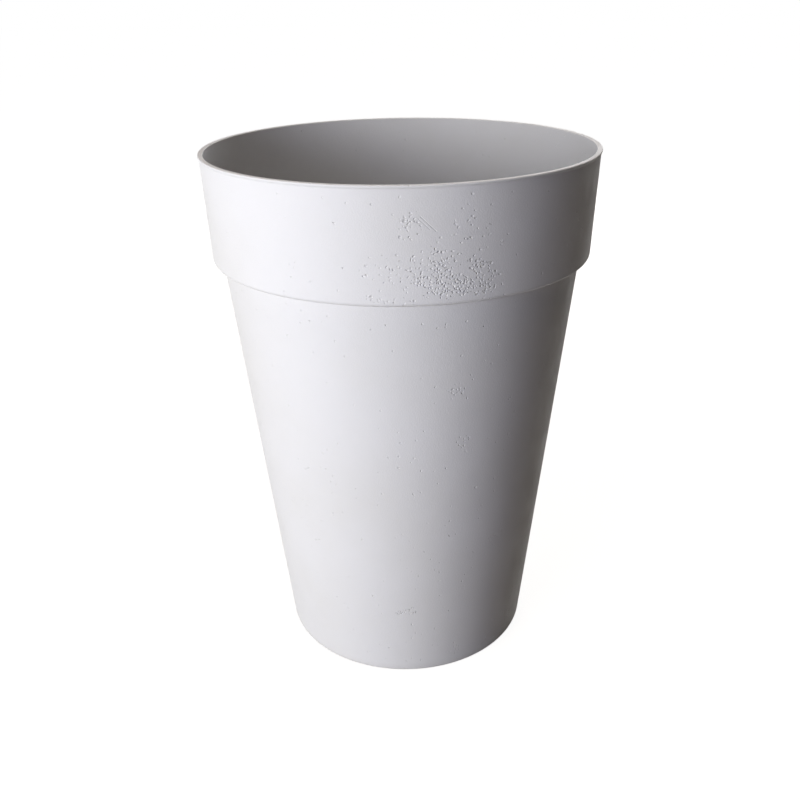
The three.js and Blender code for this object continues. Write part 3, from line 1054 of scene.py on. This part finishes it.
@dataclass
class Insert(SubAssembly):
    """The lift-out pot with its flange, centring ring, foot ring, floor ribs and slots."""

    shell: Shell = field(default_factory=Shell)
    body: str = INSERT_BODY
    wall: float = 0.003
    depth: float = 0.300
    slack: float = 0.017
    corner: float = 0.009
    seat_gap: float = 0.0003
    foot_height: float = 0.005
    foot_inset: float = 0.018
    foot_edge: float = 0.0008
    flange_thickness: float = 0.004
    flange_crease: float = 0.001
    flange_lower_edge: float = 0.0008
    flange_edge: float = 0.0013
    flange_slack: float = 0.0025
    centring_depth: float = 0.008
    centring_width: float = 0.0025
    centring_slack: float = 0.002
    centring_edge: float = 0.0006
    rib_count: int = 8
    rib_height: float = 0.008
    rib_width: float = 0.003
    rib_start: float = 0.040
    slot_length: float = 0.046
    slot_width: float = 0.005
    slot_circle: float = 0.092
    sink: float = 0.0006
    segments: int = 240

    @property
    def flange_under(self) -> float:
        """Gives the level of the flange's underside."""
        return self.shell.collar_level + self.shell.wall + self.seat_gap

    @property
    def flange_top(self) -> float:
        """Gives the level of the flange's top."""
        return self.flange_under + self.flange_thickness

    @property
    def under(self) -> float:
        """Gives the level of the floor's underside."""
        return self.flange_top - self.depth

    @property
    def floor(self) -> float:
        """Gives the level of the floor's top."""
        return self.under + self.wall

    def outside(self, level: float) -> float:
        """Gives the pot's outer radius at a level."""
        return self.shell.body_inside(level) - self.slack

    def inside(self, level: float) -> float:
        """Gives the pot's inner radius at a level."""
        return self.outside(level) - self.wall * math.hypot(1, self.shell.lean)

    def outline(self) -> Outline:
        """Lays out the pot.

        Returns:
            Its outline, from its underside out, up and back in to its floor.
        """
        foot_outside = self.outside(self.under) - self.foot_inset
        foot_inside = foot_outside - self.wall
        foot_under = self.under - self.foot_height
        flange_radius = self.shell.collar_inside(self.flange_under) - self.flange_slack
        ring_under = self.flange_under - self.centring_depth
        ring_outside = self.shell.body_inside(ring_under) - self.centring_slack
        ring_inside = ring_outside - self.centring_width
        corners = (
            Corner(0.0, self.under),
            *self._ring(foot_inside, foot_outside, self.under, foot_under, self.foot_edge),
            Corner(self.outside(self.under), self.under, self.corner),
            Corner(self.outside(self.flange_under), self.flange_under, self.flange_crease),
            *self._ring(ring_inside, ring_outside, self.flange_under, ring_under, self.centring_edge),
            Corner(flange_radius, self.flange_under, self.flange_lower_edge),
            Corner(flange_radius, self.flange_top, self.flange_edge),
            Corner(self.inside(self.flange_top), self.flange_top, self.flange_edge),
            Corner(self.inside(self.floor), self.floor, self.corner),
            Corner(0.0, self.floor),
        )
        return Outline(corners)

    @staticmethod
    def _ring(inside: float, outside: float, top: float, under: float, edge: float) -> list[Corner]:
        """Gives the corners of a ring that stands down from a face, going outwards."""
        places = ((inside, top), (inside, under), (outside, under), (outside, top))
        return [Corner(radius, level, edge) for radius, level in places]

    def build(self, peg_holes: Iterable[Piece]) -> None:
        """Builds and dresses the pot.

        Args:
            peg_holes: The cutters for the holes that the pegs of the grips go through.
        """
        pot = Workshop.turned("insert_moulding", self.outline(), self.segments)
        rib = straight_bar(self.rib_start, self.inside(self.floor) - self.corner, self.rib_width)
        low, high = self.floor - self.sink, self.floor + self.rib_height
        ribs = Workshop.slabs("floor_rib", rib, low, high, spread(self.rib_count))
        slot = rounded_slot(self.slot_circle, self.slot_length, self.slot_width)
        low, high = self.under - self.sink, self.floor + self.sink
        slots = Workshop.slabs("slot", slot, low, high, spread(self.rib_count, math.pi / self.rib_count))
        Workshop.combine(pot, Combine.JOIN, ribs)
        Workshop.combine(pot, Combine.CUT, [*slots, *peg_holes])
        self.stand_for(pot, "insert_pot", "dark_insert", DARK_PLASTIC)


@dataclass
class Grips(SubAssembly):
    """The two upright grips, each an arch over a finger gap on two pegged legs."""

    insert: Insert = field(default_factory=Insert)
    body: str = INSERT_BODY
    length: float = 0.100
    height: float = 0.030
    thickness: float = 0.006
    bar: float = 0.009
    corner: float = 0.010
    inner_corner: float = 0.0055
    rounding: float = 0.001
    rounding_steps: int = 4
    setback: float = 0.002
    peg_radius: float = 0.0022
    peg_slack: float = 0.0003
    peg_proud: float = 0.0025
    peg_segments: int = 32
    arc_steps: int = 10

    @property
    def middle(self) -> float:
        """Gives the distance from the axis to the middle of a grip's thickness."""
        return self.insert.inside(self.insert.flange_top) + self.setback + self.thickness / 2

    def _pegs(self, side: Side, radius: float, low: float, high: float) -> list[Piece]:
        """Makes the two pegs of a grip, or the cutters for their holes.

        Args:
            side: The grip's side.
            radius: The radius of each.
            low: The level of their lower ends.
            high: The level of their upper ends.

        Returns:
            The two.
        """
        reach = self.length / 2 - self.bar / 2
        pegs = []
        for along in (-reach, reach):
            peg = Workshop.rod("peg", radius, low, high, self.peg_segments)
            stand = Matrix.Translation((self.middle, along, 0))
            peg.data.transform(Matrix.Rotation(side.value, 4, "Z") @ stand)
            pegs.append(peg)
        return pegs

    def peg_holes(self) -> list[Piece]:
        """Makes the cutters for the peg holes in the insert's flange.

        Returns:
            Those of both sides.
        """
        low = self.insert.flange_under - self.insert.sink
        high = self.insert.flange_top + self.insert.sink
        radius = self.peg_radius + self.peg_slack
        return [hole for side in Side for hole in self._pegs(side, radius, low, high)]

    def arch(self) -> list[Point]:
        """Lays out a grip, seen from the front of its plate.

        Returns:
            The points of its outline, as sideways place and height.
        """
        half = self.length / 2
        inner = half - self.bar
        inner_up = self.height - self.bar - self.inner_corner
        outer_up = self.height - self.corner
        foot = self.insert.seat_gap
        return [
            (-half, foot),
            (-inner, foot),
            *self._bend(self.inner_corner - inner, inner_up, self.inner_corner, math.pi, -1),
            *self._bend(inner - self.inner_corner, inner_up, self.inner_corner, math.pi / 2, -1),
            (inner, foot),
            (half, foot),
            *self._bend(half - self.corner, outer_up, self.corner, 0.0, 1),
            *self._bend(self.corner - half, outer_up, self.corner, math.pi / 2, 1),
        ]

    def _bend(self, across: float, up: float, radius: float, start: float, way: int) -> list[Point]:
        """Lays out a quarter of a circle, anticlockwise if its way is 1 and clockwise if it is -1."""
        angles = [start + way * math.pi / 2 * step / self.arc_steps for step in range(self.arc_steps + 1)]
        return [(across + radius * math.cos(angle), up + radius * math.sin(angle)) for angle in angles]

    def build(self) -> None:
        """Builds and dresses both grips."""
        half = self.thickness / 2
        level = self.insert.flange_top
        stand = Matrix(((0, 0, 1, self.middle), (1, 0, 0, 0), (0, 1, 0, level), (0, 0, 0, 1)))
        low = self.insert.flange_under - self.peg_proud
        high = level + self.insert.seat_gap + self.rounding
        for number, side in enumerate(Side, start=1):
            grip = Workshop.slab(f"grip_{side.name.lower()}", self.arch(), -half, half)
            Workshop.soften(grip, self.rounding, self.rounding_steps)
            grip.data.transform(Matrix.Rotation(side.value, 4, "Z") @ stand)
            Workshop.combine(grip, Combine.JOIN, self._pegs(side, self.peg_radius, low, high))
            self.stand_for(grip, f"insert_grip_{number}", "dark_insert", DARK_PLASTIC)


@dataclass
class Grid(SubAssembly):
    """The slotted disc on the insert's floor ribs, with two finger holes."""

    insert: Insert = field(default_factory=Insert)
    body: str = GRID_BODY
    thickness: float = 0.0035
    slack: float = 0.0025
    rings: int = 3
    ring_gap: float = 0.011
    hub: float = 0.040
    border: float = 0.014
    slot_width: float = 0.007
    slots_round: int = 12
    hole_count: int = 2
    hole_radius: float = 0.012
    hole_circle: float = 0.022
    rounding: float = 0.0005
    rounding_steps: int = 2
    segments: int = 180

    @property
    def under(self) -> float:
        """Gives the level of the disc's underside."""
        return self.insert.floor + self.insert.rib_height + self.insert.seat_gap

    def cutters(self, radius: float) -> list[Piece]:
        """Makes the cutters for the slots and the finger holes.

        Args:
            radius: The disc's radius.

        Returns:
            The cutters.
        """
        low, high = self.under - self.rounding, self.under + self.thickness + self.rounding
        length = (radius - self.border - self.hub - self.ring_gap * (self.rings - 1)) / self.rings
        made = []
        for ring in range(self.rings):
            middle = self.hub + length / 2 + ring * (length + self.ring_gap)
            slot = rounded_slot(middle, length, self.slot_width)
            start = (ring % 2) * math.pi / self.slots_round
            made += Workshop.slabs("slot", slot, low, high, spread(self.slots_round, start))
        angles = spread(self.hole_count, math.pi / 2)
        return made + Workshop.rods("finger_hole", self.hole_radius, low, high, self.hole_circle, angles)

    def build(self) -> None:
        """Builds and dresses the disc."""
        radius = self.insert.inside(self.under) - self.slack
        disc = Workshop.rod("grid_disc", radius, self.under, self.under + self.thickness, self.segments)
        Workshop.combine(disc, Combine.CUT, self.cutters(radius))
        Workshop.soften(disc, self.rounding, self.rounding_steps)
        self.stand_for(disc, "drainage_grid", "grey_grid", GREY_PLASTIC)


# Studio


@dataclass(frozen=True)
class Lamp:
    """A soft square lamp that faces the planter.

    Its angle is in degrees from the front towards the right, and its level is the brightness that it gives a
    white surface that faces it.
    """

    name: str
    angle: float
    elevation: float
    level: float
    colour: Colour
    distance: float = 2.6
    size: float = 1.2

    def hang(self, aim: Vector) -> None:
        """Makes the lamp.

        Args:
            aim: What it faces.
        """
        lamp = bpy.data.lights.new(self.name, "AREA")
        lamp.shape = "SQUARE"
        lamp.size = self.size
        lamp.color = self.colour
        lamp.energy = self.level * math.pi**2 * self.distance**2
        turn, rise = math.radians(self.angle), math.radians(self.elevation)
        way = Vector((math.sin(turn) * math.cos(rise), -math.cos(turn) * math.cos(rise), math.sin(rise)))
        holder = bpy.data.objects.new(self.name, lamp)
        holder.location = aim + way * self.distance
        holder.rotation_euler = (-way).to_track_quat("-Z", "Y").to_euler()
        bpy.context.scene.collection.objects.link(holder)
        log.info("%s: level %.2f from %.0f degrees", self.name, self.level, self.angle)


@dataclass(frozen=True)
class Studio:
    """A plain pale floor, a white background and soft lamps.

    The floor glows for the background rays, a little less near the planter than far away.
    """

    floor_size: float = 40.0
    floor_colour: Colour = (0.262, 0.236, 0.2)
    near_glow: float = 0.93
    far_glow: float = 1.0
    near_reach: float = 0.7
    far_reach: float = 2.2
    room_level: float = 0.007
    room_colour: Colour = (1.0, 0.64, 0.4)
    white: Colour = (1.0, 1.0, 1.0)
    aim: tuple[float, float, float] = (0.0, 0.0, 0.35)
    lamps: tuple[Lamp, ...] = (
        Lamp("left_lamp", angle=-56, elevation=6, level=0.39, colour=(1.0, 0.985, 0.9)),
        Lamp("window_lamp", angle=-38, elevation=9, level=0.455, colour=(0.905, 0.925, 1.0)),
        Lamp("upper_lamp", angle=-38, elevation=40, level=0.085, colour=(0.95, 0.95, 1.0), size=1.4),
        Lamp("front_lamp", angle=-26, elevation=9, level=0.062, colour=(0.35, 0.4, 1.0)),
        Lamp(
            name="back_lamp",
            angle=168,
            elevation=16,
            level=0.42,
            colour=(0.95, 0.965, 1.0),
            distance=3.0,
            size=1.8,
        ),
        Lamp("ceiling_lamp", angle=0, elevation=85, level=0.31, colour=(1.0, 0.89, 0.79), size=2.0),
    )

    def lay_floor(self) -> None:
        """Lays the floor, which looks white to the camera and still takes the planter's shadow."""
        half = self.floor_size / 2
        corners = [(-half, -half, 0), (half, -half, 0), (half, half, 0), (-half, half, 0)]
        floor = Workshop.piece("floor", corners, [[0, 1, 2, 3]])
        material = bpy.data.materials.new("pale_floor")
        material.use_nodes = True
        bench = NodeBench(material.node_tree)
        diffuse = bench.add("BsdfDiffuse", {"Color": self.floor_colour})
        seen = self._background_rays(bench)
        reach = bench.add("VectorMath", {0: bench.where}, operation="LENGTH").outputs["Value"]
        strength = bench.fade(reach, self.near_reach, self.far_reach, self.near_glow, self.far_glow)
        glow = bench.add("Emission", {"Strength": bench.maths("MULTIPLY", seen, strength)})
        both = bench.add("AddShader", {0: diffuse.outputs[0], 1: glow.outputs[0]})
        bench.add("OutputMaterial", {"Surface": both.outputs[0]})
        floor.data.materials.append(material)
        log.info("floor: %.0f m square", self.floor_size)

    @staticmethod
    def _background_rays(bench: NodeBench) -> Socket:
        """Tells the background rays from the rest.

        Args:
            bench: The bench of the floor's material or of the world.

        Returns:
            A socket that is 1 for the rays that see the white background.
        """
        path = bench.add("LightPath")
        seen: Any = 0.0
        for rays in Rays:
            seen = bench.maths("MAXIMUM", seen, path.outputs[rays.value])
        return seen

    def light_room(self) -> None:
        """Makes the world white for the background rays and dim for the rest, and hangs the lamps."""
        world = bpy.data.worlds.new("room")
        world.use_nodes = True
        bench = NodeBench(world.node_tree)
        room = bench.add("Background", {"Color": self.room_colour, "Strength": self.room_level})
        white = bench.add("Background", {"Color": self.white, "Strength": 1.0})
        seen = self._background_rays(bench)
        both = bench.add("MixShader", {0: seen, 1: room.outputs[0], 2: white.outputs[0]})
        bench.add("OutputWorld", {"Surface": both.outputs[0]})
        bpy.context.scene.world = world
        for lamp in self.lamps:
            lamp.hang(Vector(self.aim))

    def build(self) -> None:
        """Sets up the floor, the light and the view transform."""
        self.lay_floor()
        self.light_room()
        bpy.context.scene.view_settings.view_transform = "Standard"


@dataclass(frozen=True)
class PhotoCamera:
    """The camera where the photograph's was, with its angles in degrees and its lens in millimetres."""

    location: tuple[float, float, float] = (-0.0027, -1.1158, 0.8486)
    pitch_down: float = 24.98
    turn: float = -0.11
    roll: float = -0.965
    lens: float = 40.35
    sensor: float = 36.0

    def build(self) -> None:
        """Makes the camera and sets the scene to it."""
        yaw, pitch, roll = (math.radians(angle) for angle in (self.turn, self.pitch_down, self.roll))
        right = Vector((math.cos(yaw), -math.sin(yaw), 0))
        up = Vector((math.sin(yaw) * math.sin(pitch), math.cos(yaw) * math.sin(pitch), math.cos(pitch)))
        ahead = Vector((math.sin(yaw) * math.cos(pitch), math.cos(yaw) * math.cos(pitch), -math.sin(pitch)))
        across = right * math.cos(roll) + up * math.sin(roll)
        upward = up * math.cos(roll) - right * math.sin(roll)
        camera = bpy.data.cameras.new("camera")
        camera.lens = self.lens
        camera.sensor_width = self.sensor
        holder = bpy.data.objects.new("camera", camera)
        axes = Matrix((across, upward, -ahead)).transposed()
        holder.matrix_world = Matrix.Translation(self.location) @ axes.to_4x4()
        bpy.context.scene.collection.objects.link(holder)
        bpy.context.scene.camera = holder
        log.info("camera: %.2f mm lens, %.1f degrees down", self.lens, self.pitch_down)


def main() -> None:
    """Builds the planter, the studio and the camera."""
    logging.basicConfig(level=logging.INFO, format="%(name)s: %(message)s")
    shell = Shell()
    shell.build()
    Feet(shell=shell).build()
    Plugs(shell=shell).build()
    insert = Insert(shell=shell)
    grips = Grips(insert=insert)
    insert.build(grips.peg_holes())
    grips.build()
    Grid(insert=insert).build()
    Studio().build()
    PhotoCamera().build()
    log.info("boxes written")


if __name__ == "__main__":
    main()
